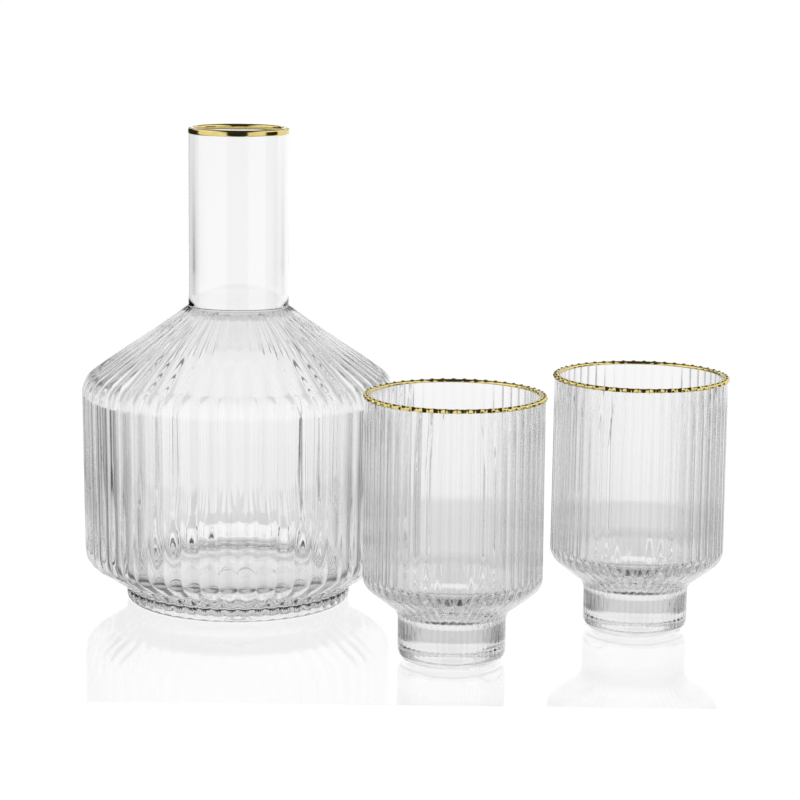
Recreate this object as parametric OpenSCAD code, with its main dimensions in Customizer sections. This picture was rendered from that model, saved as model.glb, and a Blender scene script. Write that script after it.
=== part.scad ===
// Fluted glass carafe with two matching footed tumblers, all with gilt rims.
// Millimetres, +Z up. The three feet stand on z = 0, and the origin is the
// centre of the set's footprint.

/* [Carafe] */
// Overall height, from the table to the top of the gilt rim
carafe_h = 229; // [200:1:260]
// Diameter of the body over the flute crests, just under the shoulder
body_d = 150.4; // [140:0.2:160]
// Diameter of the body over the flute crests, just above the underbody
body_low_d = 148.4; // [138:0.2:158]
// Outside diameter of the smooth neck
neck_d = 48.2; // [42:0.2:56]
// Diameter of the foot over the flute crests
foot_d = 108.4; // [96:0.2:120]
// Height at which the shoulder cone meets the neck
neck_z = 143.8; // [135:0.2:155]
// Height at which the wall meets the shoulder cone
shoulder_z = 107.9; // [95:0.2:115]
// Height at which the underbody meets the wall
belly_z = 20.3; // [17:0.1:26]
// Height of the foot
foot_h = 7.4; // [6:0.1:10]
// Wall thickness of the neck
neck_wall = 3.1; // [2.4:0.1:4]
// Wall thickness of the body under the flute valleys
body_wall = 2.6; // [2:0.1:4]
// Number of flutes round the carafe
carafe_flutes = 52; // [36:2:64]

/* [Tumblers] */
// Overall height of a tumbler
tumbler_h = 121; // [100:1:140]
// Diameter of the mouth over the flute crests
mouth_d = 80; // [74:0.5:88]
// Diameter of the wall over the flute crests, just above the underbody
bowl_low_d = 80.6; // [74:0.2:88]
// Diameter of the foot over the flute crests
stem_d = 48.4; // [42:0.2:56]
// Height at which the foot meets the underbody
stem_h = 23.2; // [18:0.2:28]
// Height at which the underbody meets the wall
bowl_z = 35.2; // [32:0.2:42]
// Height of the inside floor above the table
floor_z = 16; // [14:0.5:22]
// Wall thickness under the flute valleys
bowl_wall = 2; // [1.2:0.1:2.5]
// Number of flutes round a tumbler
tumbler_flutes = 50; // [36:2:60]

/* [Flutes and gilding] */
// Depth of a flute as a share of its width
flute_share = 0.13; // [0.08:0.01:0.2]
// Height of the gilt band on the carafe's rim
carafe_gilt_h = 2.8; // [2:0.1:5]
// Height of the gilt band on a tumbler's rim
tumbler_gilt_h = 2; // [1.4:0.1:3]
// Thickness of the gilding's solid
gilt_t = 0.3; // [0.2:0.05:0.35]

/* [Layout] */
// Front tumbler's axis, to the right of the carafe's axis
front_x = 102.5; // [95:0.5:130]
// Front tumbler's axis, in front of the carafe's axis
front_y = 110; // [100:0.5:130]
// Right tumbler's axis, to the right of the carafe's axis
right_x = 189.5; // [187:0.5:230]
// Right tumbler's axis, in front of the carafe's axis
right_y = 53.5; // [30:0.5:60]

/* [Hidden] */
$fn = 96;

// The footprint runs from the carafe's left side to the right tumbler's right
// side, and from the front tumbler's front to the carafe's back.
carafe_at = [
    (body_d / 2 - right_x - bowl_low_d / 2) / 2,
    (front_y + bowl_low_d / 2 - body_d / 2) / 2
];
front_at = carafe_at + [front_x, -front_y];
right_at = carafe_at + [right_x, -right_y];

// How deep the valleys are across one flute, from one crest to the next.
flute_shape = [0, 0.3, 1, 0.3];
lean_limit = 0.5; // flutes get no deeper where a surface lies flatter than this

body_r = body_d / 2;
neck_r = neck_d / 2;
neck_bore_r = neck_r - neck_wall;
mouth_r = mouth_d / 2;
mouth_depth = valley(mouth_r, tumbler_flutes);
mouth_bore_r = mouth_r - mouth_depth - bowl_wall;
carafe_gilt_z = carafe_h - carafe_gilt_h;
tumbler_gilt_z = tumbler_h - tumbler_gilt_h;
carafe_gilt_r = neck_r + 0.4; // the band stands a little proud of the neck
lip_r = 1; // rounding of the carafe's gilt lip
foot_ring = 9; // width of the ring that each foot stands on, with its rounding
lap = 0.5; // how far cutting shapes run past the faces that they cut

glass = [0.86, 0.9, 0.91, 0.45];
gold = [0.83, 0.66, 0.25];

// ---- profiles: [radius, height, rounding] corners become [radius, height] points ----

function unit(v) = v / norm(v);
function xy(p) = [p[0], p[1]];

// The arc of radius r that rounds corner b between a and c, in n steps.
function fillet(a, b, c, r, n) =
    let (
        u = unit(a - b),
        v = unit(c - b),
        half = acos(u * v) / 2,
        centre = b + unit(u + v) * r / sin(half),
        start = b + u * r / tan(half) - centre,
        end = b + v * r / tan(half) - centre,
        turn = 180 - 2 * half
    )
    [
        for (i = [0 : n])
            centre + (start * sin(turn * (1 - i / n)) + end * sin(turn * i / n)) / sin(turn)
    ];

function rounded(path, n = 4) = [
    for (i = [0 : len(path) - 1])
        each path[i][2] > 0
            ? fillet(xy(path[i - 1]), xy(path[i]), xy(path[i + 1]), path[i][2], n)
            : [xy(path[i])]
];

// Outside of the carafe from inside the foot's hollow up to the root of the
// neck, where it turns inwards into the neck's own solid.
root_r = neck_r + 0.15;
carafe_skin = rounded([
    [foot_d / 2 - foot_ring - 1, 0, 0],
    [foot_d / 2, 0, 2],
    [foot_d / 2, foot_h, 1.5],
    [body_low_d / 2, belly_z, 9],
    [body_r, shoulder_z, 11],
    [root_r, neck_z, 4],
    [root_r, neck_z + 3, 0],
    [neck_r - 1, neck_z + 4, 0]
], 3);

// Inside of the carafe, from the middle of the floor up past the lip.
inner_body_r = body_r - valley(body_r, carafe_flutes) - body_wall;
carafe_inside = rounded([
    [0, 10.5, 0],
    [34, 8.5, 30],
    [48, 8.5, 8],
    [inner_body_r - 1, 22.5, 10],
    [inner_body_r, shoulder_z - 1.8, 12],
    [neck_bore_r, neck_z - 1.5, 4],
    [neck_bore_r, carafe_h + lap, 0]
]);

// Outside of a tumbler from inside the foot's hollow to the underside of the gilding.
tumbler_skin = rounded([
    [stem_d / 2 - foot_ring - 1, 0, 0],
    [stem_d / 2, 0, 6],
    [stem_d / 2, stem_h, 4],
    [bowl_low_d / 2, bowl_z, 8],
    [mouth_r, tumbler_gilt_z, 0]
], 3);

// Inside of a tumbler, from the middle of the floor up past the mouth.
tumbler_inside = rounded([
    [0, floor_z, 0],
    [mouth_bore_r * 0.36, floor_z, 6],
    [mouth_bore_r, bowl_z + 4.5, 12],
    [mouth_bore_r, tumbler_h + lap, 0]
]);

// ---- fluted skins: lists of [radius over the crests, height, valley depth] ----

// Depth of the valleys between flutes on a cylinder of radius r.
function valley(r, flutes) = flute_share * 2 * PI * r / flutes;

function ramp(low, high, x) =
    let (t = min(1, max(0, (x - low) / (high - low)))) t * t * (3 - 2 * t);

// How strong the flutes are at height z: they run out at the foot's edge, and
// on the carafe at the root of the neck.
carafe_strength = function (z) ramp(0, 3, z) * (1 - ramp(neck_z - 4, neck_z + 2, z));
tumbler_strength = function (z) ramp(2, 8, z);

// The sideways part of a profile's outward normal at point i.
function lean(path, i) =
    let (along = unit(path[min(len(path) - 1, i + 1)] - path[max(0, i - 1)]))
    max(lean_limit, along[1]);

function fluted_skin(path, flutes, strength) = [
    for (i = [0 : len(path) - 1])
        let (r = path[i][0], z = path[i][1])
        [r, z, valley(r, flutes) * strength(z) / lean(path, i)]
];

// One level outline of radius r with valleys of the given depth.
function outline(r, depth, flutes) =
    let (samples = flutes * len(flute_shape))
    [
        for (k = [0 : samples - 1])
            let (out = r - depth * flute_shape[k % len(flute_shape)], turn = 360 * k / samples)
            [out * cos(turn), out * sin(turn)]
    ];

// A closed solid inside a fluted skin.
module fluted(skin, flutes) {
    samples = flutes * len(flute_shape);
    last = len(skin) - 1;
    points = [
        for (ring = skin, p = outline(ring[0], ring[2], flutes)) [p[0], p[1], ring[1]]
    ];
    bottom = [for (k = [0 : samples - 1]) k];
    top = [for (k = [samples - 1 : -1 : 0]) last * samples + k];
    sides = [
        for (i = [0 : last - 1], k = [0 : samples - 1])
            let (a = i * samples + k, b = i * samples + (k + 1) % samples)
            each [[a, a + samples, b + samples], [a, b + samples, b]]
    ];
    polyhedron(points, concat([bottom, top], sides));
}

// ---- sub-parts ----

// One piece of blown glass: foot, fluted body, shoulder and smooth neck. The
// neck ends in a tongue that the gilding covers on both sides.
module carafe_glass() {
    tongue_r = carafe_gilt_r - gilt_t;
    neck_root = [neck_r, neck_z - 12];
    color(glass)
    translate(carafe_at)
    difference() {
        union() {
            fluted(fluted_skin(carafe_skin, carafe_flutes, carafe_strength), carafe_flutes);
            rotate_extrude()
            polygon([
                [0, neck_root[1]],
                neck_root,
                [neck_r, carafe_gilt_z],
                [tongue_r, carafe_gilt_z],
                [tongue_r, carafe_h - gilt_t],
                [0, carafe_h - gilt_t]
            ]);
        }
        rotate_extrude() polygon(concat(carafe_inside, [[0, carafe_h + lap]]));
        translate([0, 0, carafe_gilt_z])
        cylinder(r = neck_bore_r + gilt_t, h = carafe_gilt_h);
        foot_recess(foot_d / 2 - foot_ring, 3.5);
    }
}

// The gilding on the carafe's lip: a channel that laps both sides of the tongue.
module carafe_gilt_rim() {
    in_r = neck_bore_r + gilt_t;
    out_r = carafe_gilt_r - gilt_t;
    channel = [
        [carafe_gilt_r, carafe_gilt_z, 0],
        [carafe_gilt_r, carafe_h, lip_r],
        [neck_bore_r, carafe_h, lip_r],
        [neck_bore_r, carafe_gilt_z, 0]
    ];
    tongue = [
        [in_r, carafe_gilt_z],
        [in_r, carafe_h - gilt_t],
        [out_r, carafe_h - gilt_t],
        [out_r, carafe_gilt_z]
    ];
    color(gold)
    translate(carafe_at)
    rotate_extrude() polygon(concat(rounded(channel), tongue));
}

// One piece of pressed glass: solid foot, flared underbody and fluted wall. The
// wall ends in a tongue that the gilding covers on both sides, and its flat top
// runs on into the bore, so that the bore cuts through level strips only.
module tumbler_glass(at) {
    tongue = [
        [mouth_r - gilt_t, tumbler_gilt_z, mouth_depth],
        [mouth_r - gilt_t, tumbler_h - gilt_t, mouth_depth],
        [mouth_bore_r - 1, tumbler_h - gilt_t, 0]
    ];
    skin = fluted_skin(tumbler_skin, tumbler_flutes, tumbler_strength);
    color(glass)
    translate(at)
    difference() {
        fluted(concat(skin, tongue), tumbler_flutes);
        rotate_extrude() polygon(concat(tumbler_inside, [[0, tumbler_h + lap]]));
        translate([0, 0, tumbler_gilt_z])
        cylinder(r = mouth_bore_r + gilt_t, h = tumbler_gilt_h);
        foot_recess(stem_d / 2 - foot_ring, 1.5);
    }
}

// The gilding on a tumbler's lip, which follows the flutes on its outside.
module tumbler_gilt_rim(at) {
    color(gold)
    translate([at[0], at[1], tumbler_gilt_z])
    difference() {
        linear_extrude(tumbler_gilt_h) polygon(outline(mouth_r, mouth_depth, tumbler_flutes));
        translate([0, 0, -lap])
        cylinder(r = mouth_bore_r, h = tumbler_gilt_h + 2 * lap);
        translate([0, 0, -lap])
        linear_extrude(tumbler_gilt_h - gilt_t + lap)
        difference() {
            polygon(outline(mouth_r - gilt_t, mouth_depth, tumbler_flutes));
            circle(r = mouth_bore_r + gilt_t);
        }
    }
}

// The shallow hollow of radius r under a foot.
module foot_recess(r, depth) {
    rotate_extrude()
    polygon([[0, -lap], [r, -lap], [r, 0], [r - 2, depth * 0.6], [r * 0.5, depth], [0, depth]]);
}

carafe_glass();
carafe_gilt_rim();
tumbler_glass(front_at);  // front_tumbler_glass
tumbler_gilt_rim(front_at);  // front_tumbler_gilt_rim
tumbler_glass(right_at);  // right_tumbler_glass
tumbler_gilt_rim(right_at);  // right_tumbler_gilt_rim
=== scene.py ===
"""Looks for the fluted carafe and its two footed tumblers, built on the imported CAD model.

Each vessel's glass and gilt rim is a fine turned mesh that replaces its plain CAD node.
Sizes of the vessels are in millimetres, with profiles as (radius, height). The studio, the
camera and the textures are in metres.
"""

import math

import bpy
import numpy as np
from mathutils import Matrix, Vector

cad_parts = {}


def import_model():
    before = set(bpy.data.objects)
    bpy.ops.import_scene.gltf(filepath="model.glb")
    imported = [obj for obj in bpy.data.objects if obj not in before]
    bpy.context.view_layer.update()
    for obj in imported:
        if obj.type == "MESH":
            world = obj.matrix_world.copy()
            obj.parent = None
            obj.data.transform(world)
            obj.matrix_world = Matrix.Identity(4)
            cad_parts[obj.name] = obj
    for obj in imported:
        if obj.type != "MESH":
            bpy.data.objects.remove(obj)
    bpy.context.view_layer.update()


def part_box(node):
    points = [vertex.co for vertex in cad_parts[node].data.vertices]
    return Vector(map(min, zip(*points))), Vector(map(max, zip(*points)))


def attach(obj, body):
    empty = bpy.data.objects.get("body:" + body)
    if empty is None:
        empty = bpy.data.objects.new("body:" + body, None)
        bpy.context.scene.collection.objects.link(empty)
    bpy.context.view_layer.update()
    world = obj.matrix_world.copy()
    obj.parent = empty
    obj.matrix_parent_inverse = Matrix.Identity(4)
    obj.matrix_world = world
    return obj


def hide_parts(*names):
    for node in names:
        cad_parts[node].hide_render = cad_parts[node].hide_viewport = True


MM = 0.001


# ---- profiles ----


def unit(v):
    return v / np.linalg.norm(v)


def arc(before, corner, after, radius, step_deg=8.0):
    """Points of the arc that rounds a corner between two neighbouring corners."""
    u = unit(before - corner)
    v = unit(after - corner)
    half = math.acos(float(np.clip(u @ v, -1, 1))) / 2
    centre = corner + unit(u + v) * radius / math.sin(half)
    start = corner + u * radius / math.tan(half) - centre
    end = corner + v * radius / math.tan(half) - centre
    turn = math.pi - 2 * half
    steps = max(2, math.ceil(math.degrees(turn) / step_deg))
    shares = np.linspace(0, 1, steps + 1)
    return [
        centre + (start * math.sin(turn * (1 - t)) + end * math.sin(turn * t)) / math.sin(turn)
        for t in shares
    ]


def rounded(corners, step_mm=14.0):
    """A profile through (radius, height, rounding) corners, with no step longer than step_mm."""
    points = [np.array(c[:2], float) for c in corners]
    path = [points[0]]
    for i in range(1, len(corners)):
        rounding = corners[i][2]
        if rounding > 0:
            stretch = arc(points[i - 1], points[i], points[i + 1], rounding)
        else:
            stretch = [points[i]]
        start, length = path[-1], np.linalg.norm(stretch[0] - path[-1])
        cuts = max(1, math.ceil(length / step_mm))
        path += [start + (stretch[0] - start) * k / cuts for k in range(1, cuts)]
        path += stretch
    return np.array(path)


def normals_of(path):
    """Outward normals of a profile that runs up the outside or down the inside."""
    along = np.gradient(path, axis=0)
    along /= np.linalg.norm(along, axis=1, keepdims=True)
    return np.stack([along[:, 1], -along[:, 0]], axis=1)


def ramp(low, high, x):
    t = np.clip((x - low) / (high - low), 0, 1)
    return t * t * (3 - 2 * t)


# ---- flutes ----

SAMPLES = 12  # points round one flute
CROWDING = 1.35  # above 1 crowds those points towards the valley
VALLEY_SOFTNESS = 0.06  # how far the bottom of a valley is rounded
FLUTE_SHARE = 0.13  # depth of a flute as a share of its width
INSIDE_FOLLOWS = 0.85  # how much of each flute shows as a soft wave on the inside
INSIDE_SOFTNESS = 0.35


def flute_angles(flutes):
    """Angles round a vessel, crowded towards the valleys, with a crest at angle zero."""
    u = np.arange(SAMPLES) / SAMPLES * 2 - 1
    place = 0.5 + 0.5 * np.sign(u) * np.abs(u) ** CROWDING
    turns = (np.arange(flutes)[:, None] + place[None, :]).ravel() / flutes
    return turns * 2 * math.pi


def flute_shape(angles, flutes, softness):
    """0 on a crest and 1 in a valley: convex reeds that meet in creases, or softer waves."""
    wave = np.sqrt(np.cos(angles * flutes / 2) ** 2 + softness**2)
    top = math.sqrt(1 + softness**2)
    return (top - wave) / (top - softness)


def ripple(angles, heights, seed, waves=7):
    """A gentle, repeatable unevenness over a turned surface, from -1 to 1."""
    draw = np.random.default_rng(seed)
    total = np.zeros((len(heights), len(angles)))
    for _ in range(waves):
        around = draw.integers(1, 9)
        along = draw.uniform(0.01, 0.05)
        phase = draw.uniform(0, 2 * math.pi, 2)
        turning = np.sin(angles[None, :] * around + phase[0])
        rising = np.sin(heights[:, None] * along + phase[1])
        total += turning * rising
    return total / waves


def turned_points(path, angles, depth, flutes, softness=VALLEY_SOFTNESS, uneven=0.0, seed=0):
    """Points of a turned surface: rings of the profile, sunk along its normal into flutes."""
    normals = normals_of(path)
    sink = depth[:, None] * flute_shape(angles, flutes, softness)[None, :]
    if uneven:
        sink += ripple(angles, path[:, 1], seed) * uneven
    radius = path[:, :1] - normals[:, :1] * sink
    height = path[:, 1:] - normals[:, 1:] * sink
    return np.stack(
        [radius * np.cos(angles), radius * np.sin(angles), np.broadcast_to(height, sink.shape)],
        axis=2,
    )


# ---- meshes ----


def grid_faces(rings, around, wrap):
    """Quads between neighbouring rings, and from the last ring to the first if wrap is set."""
    k = np.arange(around)
    after = (k + 1) % around
    faces = []
    for i in range(rings if wrap else rings - 1):
        j = (i + 1) % rings
        a, b = i * around, j * around
        faces.append(np.stack([a + k, a + after, b + after, b + k], axis=1))
    return np.concatenate(faces).tolist()


def turned_mesh(name, rings, at, poles=None):
    """A smooth mesh of stacked rings round the point at, closed by poles or on itself."""
    count, around = rings.shape[:2]
    vertices = rings.reshape(-1, 3)
    faces = grid_faces(count, around, wrap=poles is None)
    if poles:
        vertices = np.concatenate([vertices, [[0, 0, poles[0]], [0, 0, poles[1]]]])
        first, last = len(vertices) - 2, len(vertices) - 1
        top = (count - 1) * around
        for k in range(around):
            after = (k + 1) % around
            faces.append([first, after, k])
            faces.append([last, top + k, top + after])
    vertices = vertices * MM + np.array([at[0], at[1], 0])
    mesh = bpy.data.meshes.new(name)
    mesh.from_pydata(vertices.tolist(), [], faces)
    mesh.polygons.foreach_set("use_smooth", [True] * len(mesh.polygons))
    mesh.update()
    piece = bpy.data.objects.new(name, mesh)
    bpy.context.scene.collection.objects.link(piece)
    return piece


def add_piece(piece, material, body, node):
    piece.data.materials.append(material)
    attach(piece, body)
    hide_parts(node)


# ---- materials ----


def new_material(name):
    material = bpy.data.materials.new(name)
    material.use_nodes = True
    tree = material.node_tree
    return material, tree, tree.nodes["Principled BSDF"]


def noise(tree, scale, detail=3.0, stretch=(1, 1, 1)):
    """A noise texture over the object's own coordinates, in metres."""
    place = tree.nodes.new("ShaderNodeTexCoord")
    mapping = tree.nodes.new("ShaderNodeMapping")
    texture = tree.nodes.new("ShaderNodeTexNoise")
    mapping.inputs["Scale"].default_value = stretch
    texture.inputs["Scale"].default_value = scale
    texture.inputs["Detail"].default_value = detail
    tree.links.new(place.outputs["Object"], mapping.inputs["Vector"])
    tree.links.new(mapping.outputs["Vector"], texture.inputs["Vector"])
    return texture.outputs["Fac"]


def spread(tree, value, low, high):
    """value, from 0.3 to 0.7, spread over low to high."""
    node = tree.nodes.new("ShaderNodeMapRange")
    node.inputs["From Min"].default_value = 0.3
    node.inputs["From Max"].default_value = 0.7
    node.inputs["To Min"].default_value = low
    node.inputs["To Max"].default_value = high
    tree.links.new(value, node.inputs["Value"])
    return node.outputs["Result"]


def mix_colours(tree, share, first, second):
    """A mix of two colours, each a socket, a grey level or a (red, green, blue)."""
    node = tree.nodes.new("ShaderNodeMix")
    node.data_type = "RGBA"
    for name, value in (("A", first), ("B", second)):
        if isinstance(value, (int, float)):
            node.inputs[name].default_value = (value, value, value, 1)
        elif isinstance(value, tuple):
            node.inputs[name].default_value = (*value, 1)
        else:
            tree.links.new(value, node.inputs[name])
    tree.links.new(share, node.inputs["Factor"])
    return node.outputs["Result"]


def add_bump(tree, shader, height, distance, strength=1.0):
    bump = tree.nodes.new("ShaderNodeBump")
    bump.inputs["Distance"].default_value = distance
    bump.inputs["Strength"].default_value = strength
    tree.links.new(height, bump.inputs["Height"])
    tree.links.new(bump.outputs["Normal"], shader.inputs["Normal"])


def clear_glass():
    """Fire-polished pressed glass: clear, with a faint orange-peel ripple and tint."""
    material, tree, shader = new_material("clear_glass")
    shader.inputs["Transmission Weight"].default_value = 1.0
    shader.inputs["IOR"].default_value = 1.5
    tint = mix_colours(tree, noise(tree, 30), (0.985, 0.987, 0.986), (0.996, 0.997, 0.997))
    tree.links.new(tint, shader.inputs["Base Color"])
    polish = spread(tree, noise(tree, 60), 0.0, 0.01)
    tree.links.new(polish, shader.inputs["Roughness"])
    add_bump(tree, shader, noise(tree, 60, detail=1.0, stretch=(1, 1, 0.35)), 0.0002, 0.04)
    body = tree.nodes.new("ShaderNodeVolumeAbsorption")
    body.inputs["Color"].default_value = (0.11, 0.13, 0.125, 1)
    body.inputs["Density"].default_value = 3.2
    tree.links.new(body.outputs["Volume"], tree.nodes["Material Output"].inputs["Volume"])
    return material


def gilding():
    """Fired gold, burnished: a little warmer and duller where the brush left it thin."""
    material, tree, shader = new_material("gilding")
    shader.inputs["Metallic"].default_value = 1.0
    colour = mix_colours(tree, noise(tree, 220), (0.60, 0.47, 0.14), (0.82, 0.68, 0.29))
    tree.links.new(colour, shader.inputs["Base Color"])
    polish = spread(tree, noise(tree, 500), 0.05, 0.14)
    tree.links.new(polish, shader.inputs["Roughness"])
    add_bump(tree, shader, noise(tree, 900, stretch=(1, 1, 3)), 0.00002, 0.4)
    return material


# ---- the vessels ----

GILT = 0.12  # thickness of the gilding over the glass
GAP = 0.02  # keeps the gilding's inside off the glass
NECK_Z = 143.8  # the height at which the carafe's shoulder meets its neck
NECK_OUT = 24.1  # outer radius of the carafe's neck and lip
NECK_IN = 21
CARAFE_LIP = 0.8  # rounding of the glass lip
MOUTH_OUT = 40  # outer radius of a tumbler's lip, over the flute crests
MOUTH_IN = 37.4
TUMBLER_LIP = 0.7


def centre_of(node):
    low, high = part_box(node)
    return ((low.x + high.x) / 2, (low.y + high.y) / 2)


def top_of(node):
    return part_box(node)[1].z / MM


def carafe_outside(height):
    """The carafe from its foot's hollow up to the lip, over the flute crests."""
    return rounded([
        (0.5, 2, 0),
        (46, 2, 2),
        (48.5, 0, 1),
        (54.2, 0, 3),
        (54.2, 7.4, 1.5),
        (74.2, 20.3, 9),
        (75.2, 107.9, 11),
        (NECK_OUT, NECK_Z, 2),
        (NECK_OUT, height, 0),
    ])


def carafe_inside(height):
    """The carafe's inside from the lip down to the middle of the floor."""
    return rounded([
        (NECK_IN, height, 0),
        (NECK_IN, 142.3, 14),
        (71.3, 106.1, 12),
        (70.3, 23, 7),
        (60, 14, 5),
        (0.5, 13, 0),
    ])


def tumbler_outside(height):
    """A tumbler from its foot's hollow up to the lip, over the flute crests."""
    return rounded([
        (0.5, 1.5, 0),
        (13, 1.5, 4),
        (15.5, 0, 1.5),
        (24.2, 0, 6),
        (24.2, 22.9, 7.5),
        (40.3, 35.2, 8),
        (MOUTH_OUT, height, 0),
    ])


def tumbler_inside(height):
    """A tumbler's inside from the lip down to the middle of the floor."""
    return rounded([
        (MOUTH_IN, height, 0),
        (37.7, 38.5, 4),
        (24, 29, 4),
        (17, 22, 3),
        (0.5, 22, 0),
    ])


def lip(outer_r, inner_r, height, rounding):
    """A rounded lip between an outer and an inner wall."""
    path = rounded([
        (outer_r, height - 2 * rounding, 0),
        (outer_r, height, rounding),
        (inner_r, height, rounding),
        (inner_r, height - 2 * rounding, 0),
    ], step_mm=0.8)
    return path[1:-1]


def flute_depth(path, flutes, strength):
    return FLUTE_SHARE * 2 * math.pi * path[:, 0] / flutes * strength


def glass_piece(name, at, flutes, outside, depth, lip_path, lip_depth, inside, wave, uneven):
    """One closed skin of glass: up the fluted outside, over the lip and down the inside."""
    angles = flute_angles(flutes)
    rings = np.concatenate([
        turned_points(outside, angles, depth, flutes),
        turned_points(lip_path, angles, lip_depth, flutes),
        turned_points(inside, angles, -wave, flutes, INSIDE_SOFTNESS, uneven, seed=len(name)),
    ])
    return turned_mesh(name, rings, at, poles=(outside[0, 1], inside[-1, 1]))


INNER_BAND = 0.8  # how far the gold runs down the inside, as a share of the outside
INNER_SWELL = 0.3  # swelling of the gold's inner edge, as a share of the flute depth
WAVER = 0.35  # unevenness of the painted lower edge
WAVER_REACH = 0.6  # height over which it dies away


def gilt_piece(name, at, outer_r, inner_r, height, band, rounding, depth, flutes):
    """A thin gold skin over the lip, whose lower edge wavers as a painted line does."""
    angles = flute_angles(flutes)
    skin = rounded([
        (outer_r, height - band, 0),
        (outer_r, height, rounding),
        (inner_r, height, rounding),
        (inner_r, height - INNER_BAND * band, 0),
    ], step_mm=0.6)
    under = skin[::-1] - normals_of(skin)[::-1] * GILT
    path = np.concatenate([skin, under])
    thick = outer_r - inner_r
    share = ramp(inner_r + 0.2 * thick, outer_r, path[:, 0])
    share -= INNER_SWELL * (1 - ramp(inner_r, inner_r + 0.4 * thick, path[:, 0]))
    rings = np.concatenate([
        turned_points(skin, angles, share[: len(skin)] * depth, flutes),
        turned_points(under, angles, share[len(skin):] * depth, flutes),
    ])
    low = ramp(height - band + WAVER_REACH, height - band, path[:, 1])
    waver = ripple(angles, np.zeros(1), seed=len(name) + 3)[0]
    rings[:, :, 2] += low[:, None] * waver[None, :] * WAVER
    return turned_mesh(name, rings, at)


# ---- the set, piece by piece ----

CARAFE_FLUTES = 52
CARAFE_UNEVEN = 0.06  # ripple of the inside wall
CARAFE_BAND = 2.8  # height of the gold down the outside
CARAFE_GILT_ROUNDING = 1.2
CARAFE_FOOT_RISE = (0.5, 4)  # heights over which the foot's flutes deepen
CARAFE_FOOT_RADII = (48, 53)  # flutes start over these radii under the foot
CARAFE_ABOVE_FOOT = (20, 24)  # heights over which the radius stops mattering
CARAFE_FLOOR_RISE = (20, 32)  # heights over which the inside starts to follow the flutes
SHOULDER_SHARE = 0.18  # share of the flute depth that the shoulder keeps
SHOULDER_RADII = (66, 77)  # radii over which the full depth returns
SHOULDER_ABOVE = 60  # height under which the wall keeps its full depth
NECK_FADE = (NECK_Z - 7, NECK_Z - 1)  # heights over which the flutes die out

TUMBLER_FLUTES = 50
TUMBLER_UNEVEN = 0.05
TUMBLER_BAND = 1.6
TUMBLER_GILT_ROUNDING = 1.1
TUMBLER_FOOT_RISE = (6, 9)
TUMBLER_FLOOR_RISE = (26, 40)
TUMBLER_LIP_FADE = (6, 2)  # depths under the rim over which the inside turns plain
PLAIN_INSIDE = 37.9  # radius within which a tumbler's lip has no flutes


def shoulder_fade(path):
    """Share of the carafe's flute depth that is left along a profile as it nears the neck."""
    shoulder = SHOULDER_SHARE + (1 - SHOULDER_SHARE) * ramp(*SHOULDER_RADII, path[:, 0])
    share = np.where(path[:, 1] > SHOULDER_ABOVE, shoulder, 1)
    return share * (1 - ramp(*NECK_FADE, path[:, 1]))


def build_carafe(glass, gold):
    at = centre_of("carafe_glass")
    height = top_of("carafe_gilt_rim")
    rim = height - GILT - GAP
    outside = carafe_outside(rim - 2 * CARAFE_LIP)
    strength = ramp(*CARAFE_FOOT_RISE, outside[:, 1]) * shoulder_fade(outside)
    foot = ramp(*CARAFE_FOOT_RADII, outside[:, 0])
    strength *= foot + ramp(*CARAFE_ABOVE_FOOT, outside[:, 1])
    lip_path = lip(NECK_OUT, NECK_IN, rim, CARAFE_LIP)
    depth = flute_depth(outside, CARAFE_FLUTES, np.minimum(strength, 1))
    inside = carafe_inside(rim - 2 * CARAFE_LIP)
    follow = INSIDE_FOLLOWS * ramp(*CARAFE_FLOOR_RISE, inside[:, 1]) * shoulder_fade(inside)
    wave = flute_depth(inside, CARAFE_FLUTES, follow)
    piece = glass_piece(
        "carafe_fluted_glass", at, CARAFE_FLUTES, outside, depth,
        lip_path, np.zeros(len(lip_path)), inside, wave, uneven=CARAFE_UNEVEN,
    )
    add_piece(piece, glass, "carafe", "carafe_glass")
    band = gilt_piece(
        "carafe_gilt_lip", at, NECK_OUT + GILT + GAP, NECK_IN - GILT - GAP, height,
        CARAFE_BAND, CARAFE_GILT_ROUNDING, 0, CARAFE_FLUTES,
    )
    add_piece(band, gold, "carafe", "carafe_gilt_rim")


def build_tumbler(side, glass, gold):
    node = f"{side}_tumbler_glass"
    at = centre_of(node)
    height = top_of(f"{side}_tumbler_gilt_rim")
    rim = height - GILT - GAP
    outside = tumbler_outside(rim - 2 * TUMBLER_LIP)
    strength = ramp(*TUMBLER_FOOT_RISE, outside[:, 1])
    mouth_depth = FLUTE_SHARE * 2 * math.pi * MOUTH_OUT / TUMBLER_FLUTES
    lip_path = lip(MOUTH_OUT, MOUTH_IN, rim, TUMBLER_LIP)
    share = ramp(PLAIN_INSIDE, MOUTH_OUT, lip_path[:, 0])
    inside = tumbler_inside(rim - 2 * TUMBLER_LIP)
    fade_from, fade_to = TUMBLER_LIP_FADE
    plain = ramp(rim - fade_from, rim - fade_to, inside[:, 1])
    follow = INSIDE_FOLLOWS * ramp(*TUMBLER_FLOOR_RISE, inside[:, 1]) * (1 - plain)
    piece = glass_piece(
        f"{side}_tumbler_fluted_glass", at, TUMBLER_FLUTES,
        outside, flute_depth(outside, TUMBLER_FLUTES, strength), lip_path, share * mouth_depth,
        inside, flute_depth(inside, TUMBLER_FLUTES, follow), uneven=TUMBLER_UNEVEN,
    )
    add_piece(piece, glass, f"{side}_tumbler", node)
    band = gilt_piece(
        f"{side}_tumbler_gilt_lip", at, MOUTH_OUT + GILT + GAP, MOUTH_IN - GILT - GAP, height,
        TUMBLER_BAND, TUMBLER_GILT_ROUNDING, mouth_depth, TUMBLER_FLUTES,
    )
    add_piece(band, gold, f"{side}_tumbler", f"{side}_tumbler_gilt_rim")


# ---- studio ----


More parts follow.
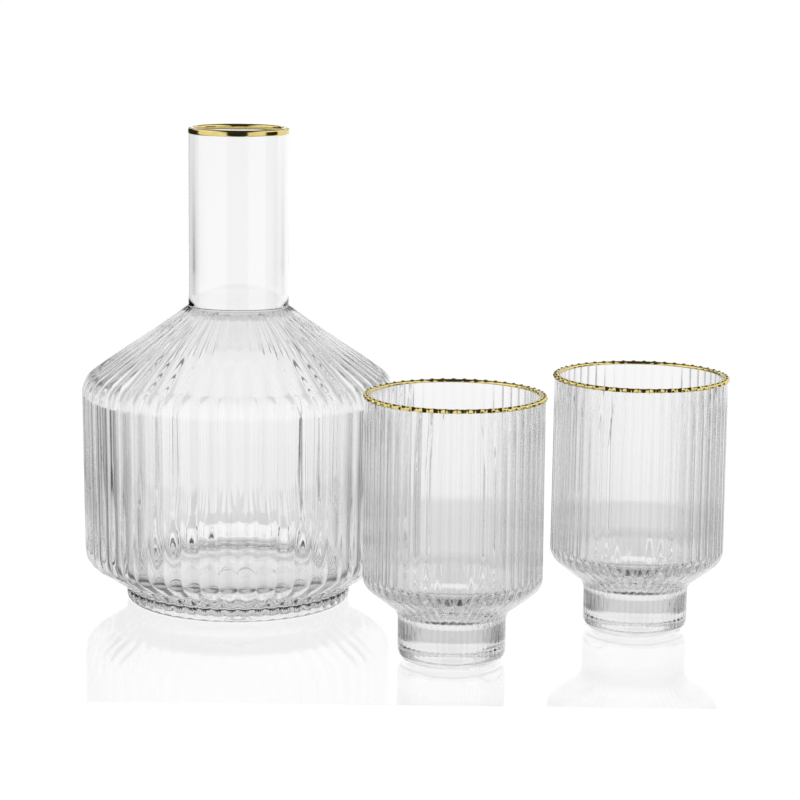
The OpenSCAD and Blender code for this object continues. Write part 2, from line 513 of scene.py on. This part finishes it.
FLOOR_GLOW = 0.79
FLOOR_GLOSS = 0.21
FLOOR_ROUGHNESS = 0.06
FLOOR_SIDE = 0.45  # half its width
FLOOR_FRONT = -0.143
FLOOR_BEHIND = 0.227  # its back edge, behind the carafe's axis
FLOOR_DROP = 0.0002  # keeps it clear of the feet


def build_floor(at):
    """A glossy, softly glowing white sheet. The glass sees the studio's ground in its place."""
    left, right, front, back = -FLOOR_SIDE, FLOOR_SIDE, FLOOR_FRONT, at[1] + FLOOR_BEHIND
    mesh = bpy.data.meshes.new("floor")
    corners = [(left, front, 0), (right, front, 0), (right, back, 0), (left, back, 0)]
    mesh.from_pydata(corners, [], [(0, 1, 2, 3)])
    floor = bpy.data.objects.new("floor", mesh)
    floor.location.z = -FLOOR_DROP
    bpy.context.scene.collection.objects.link(floor)
    material = bpy.data.materials.new("white_sheet")
    material.use_nodes = True
    tree = material.node_tree
    tree.nodes.clear()
    glow = tree.nodes.new("ShaderNodeEmission")
    glow.inputs["Strength"].default_value = FLOOR_GLOW
    gloss = tree.nodes.new("ShaderNodeBsdfGlossy")
    gloss.inputs["Color"].default_value = (FLOOR_GLOSS, FLOOR_GLOSS, FLOOR_GLOSS, 1)
    gloss.inputs["Roughness"].default_value = FLOOR_ROUGHNESS
    both = tree.nodes.new("ShaderNodeAddShader")
    out = tree.nodes.new("ShaderNodeOutputMaterial")
    tree.links.new(glow.outputs[0], both.inputs[0])
    tree.links.new(gloss.outputs[0], both.inputs[1])
    tree.links.new(both.outputs[0], out.inputs["Surface"])
    mesh.materials.append(material)
    floor.visible_transmission = False
    floor.visible_glossy = False


def ring_of_light(tree, angle, stops):
    """Brightness by compass angle, in degrees from -180 to 180, as (angle, brightness) stops."""
    ramp_node = tree.nodes.new("ShaderNodeValToRGB")
    ramp_node.color_ramp.interpolation = "EASE"
    elements = ramp_node.color_ramp.elements
    while len(elements) < len(stops):
        elements.new(0.5)
    for element, (degrees, bright) in zip(elements, stops):
        element.position = (degrees + 180) / 360
        element.color = (bright, bright, bright, 1)
    tree.links.new(angle, ramp_node.inputs["Fac"])
    return ramp_node.outputs["Color"]


def math_node(tree, operation, *values):
    node = tree.nodes.new("ShaderNodeMath")
    node.operation = operation
    for socket, value in zip(node.inputs, values):
        if isinstance(value, (int, float)):
            socket.default_value = value
        else:
            tree.links.new(value, socket)
    return node.outputs[0]


def bands(edges, width=6):
    """Stops for steps of brightness: edges are (angle, brightness from there on)."""
    stops = [(-180, edges[0][1])]
    for (_, before), (angle, after) in zip(edges, edges[1:]):
        stops += [(angle - width / 2, before), (angle + width / 2, after)]
    return stops + [(180, edges[-1][1])]


# What the gold and glass reflect: strip lights between black flags, as (angle, brightness on).
STRIPS = [(-180, 1.1), (-155, 0.03), (-99, 1.1), (-23, 0.03), (25, 1.1), (68, 0.03), (103, 1.1)]
# What shows through the glass: a white backdrop with grey at its sides, by angle from its middle.
BACKDROP_LEFT = [
    (0, 1.03), (12, 1.03), (24, 0.93), (34, 0.65), (46, 0.2), (60, 0.12), (72, 0.5), (88, 0.95),
]
BACKDROP_RIGHT = [
    (0, 1.03), (12, 1.03), (25, 0.95), (36, 0.73), (48, 0.4), (60, 0.3), (72, 0.6), (88, 0.95),
]
FLAG = 0.05  # brightness of the low black flag behind the set, which the gilt lips pick up
HORIZON = 0.95  # brightness of the backdrop round the horizon


def rise(tree, value, low, high, start=0.0, end=1.0):
    """start below low and end above high, with a smooth rise between."""
    node = tree.nodes.new("ShaderNodeMapRange")
    node.interpolation_type = "SMOOTHSTEP"
    node.inputs["From Min"].default_value = low
    node.inputs["From Max"].default_value = high
    node.inputs["To Min"].default_value = start
    node.inputs["To Max"].default_value = end
    tree.links.new(value, node.inputs["Value"])
    return node.outputs["Result"]


def build_studio():
    """White backdrop, with strip lights and black flags that the gold and glass pick up."""
    world = bpy.data.worlds.new("studio")
    bpy.context.scene.world = world
    world.use_nodes = True
    tree = world.node_tree
    place = tree.nodes.new("ShaderNodeTexCoord")
    split = tree.nodes.new("ShaderNodeSeparateXYZ")
    tree.links.new(place.outputs["Generated"], split.inputs[0])
    x, y, z = split.outputs
    turn = math_node(tree, "ARCTAN2", x, math_node(tree, "MULTIPLY", y, -1.0))
    angle = math_node(tree, "MULTIPLY_ADD", turn, 1 / (2 * math.pi), 0.5)
    overhead = rise(tree, z, 0.3, 0.5)
    softbox = rise(tree, math_node(tree, "ABSOLUTE", x), 0.3, 0.75, 0.04, 1.4)
    above, below = rise(tree, z, 0.11, 0.13), rise(tree, z, 0.19, 0.205, 1.0, 0.0)
    flag = math_node(tree, "MULTIPLY", above, below)
    flag = math_node(tree, "MULTIPLY", flag, rise(tree, y, 0.75, 0.88))
    strips = mix_colours(tree, flag, ring_of_light(tree, angle, bands(STRIPS)), FLAG)
    strips = mix_colours(tree, overhead, strips, softbox)
    left = [(off - 180, bright) for off, bright in BACKDROP_LEFT]
    right = [(180 - off, bright) for off, bright in reversed(BACKDROP_RIGHT)]
    paler = rise(tree, z, -0.17, -0.06, 0.0, 0.95)
    backdrop = mix_colours(tree, paler, ring_of_light(tree, angle, left + right), HORIZON)
    backdrop = mix_colours(tree, overhead, backdrop, 1.0)
    ground, edge = rise(tree, z, -0.30, -0.08, 0.20, 0.0), rise(tree, z, -0.216, -0.212, 0.14, 0.0)
    shade = math_node(tree, "ADD", ground, edge)
    shade = math_node(tree, "ADD", shade, rise(tree, z, -0.9, -0.3, 0.2, 0.0))
    backdrop = mix_colours(tree, shade, backdrop, 0.0)
    path = tree.nodes.new("ShaderNodeLightPath")
    around = mix_colours(tree, path.outputs["Is Transmission Ray"], strips, backdrop)
    seen = mix_colours(tree, path.outputs["Is Camera Ray"], around, 1.02)
    tree.links.new(seen, tree.nodes["Background"].inputs["Color"])


CAMERA_BACK = 1.221  # distance in front of the carafe's axis
CAMERA_RIGHT = 0.0782
CAMERA_UP = 0.3176
CAMERA_PITCH = 10.19  # degrees, looking down
CAMERA_ROLL = 0.67  # degrees
CAMERA_LENS = 115.3  # on a 36 mm sensor


def build_camera(at):
    data = bpy.data.cameras.new("camera")
    data.sensor_width = 36
    data.lens = CAMERA_LENS
    data.clip_start, data.clip_end = 0.01, 20
    camera = bpy.data.objects.new("camera", data)
    bpy.context.scene.collection.objects.link(camera)
    turn = Matrix.Rotation(math.radians(90 - CAMERA_PITCH), 4, "X")
    roll = Matrix.Rotation(math.radians(CAMERA_ROLL), 4, "Z")
    place = Vector((at[0] + CAMERA_RIGHT, at[1] - CAMERA_BACK, CAMERA_UP))
    camera.matrix_world = Matrix.Translation(place) @ turn @ roll
    bpy.context.scene.camera = camera


THROUGH_GLASS = 32  # light bounces, for rays that cross many fluted walls
INSIDE_GLASS = 16  # of those, reflections, including light trapped in the glass


def main():
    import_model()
    at = centre_of("carafe_glass")
    build_camera(at)
    build_studio()
    build_floor(at)
    glass, gold = clear_glass(), gilding()
    build_carafe(glass, gold)
    for side in ("front", "right"):
        build_tumbler(side, glass, gold)
    scene = bpy.context.scene
    scene.view_settings.view_transform = "Standard"
    scene.cycles.max_bounces = THROUGH_GLASS
    scene.cycles.transmission_bounces = THROUGH_GLASS
    scene.cycles.glossy_bounces = INSIDE_GLASS


main()
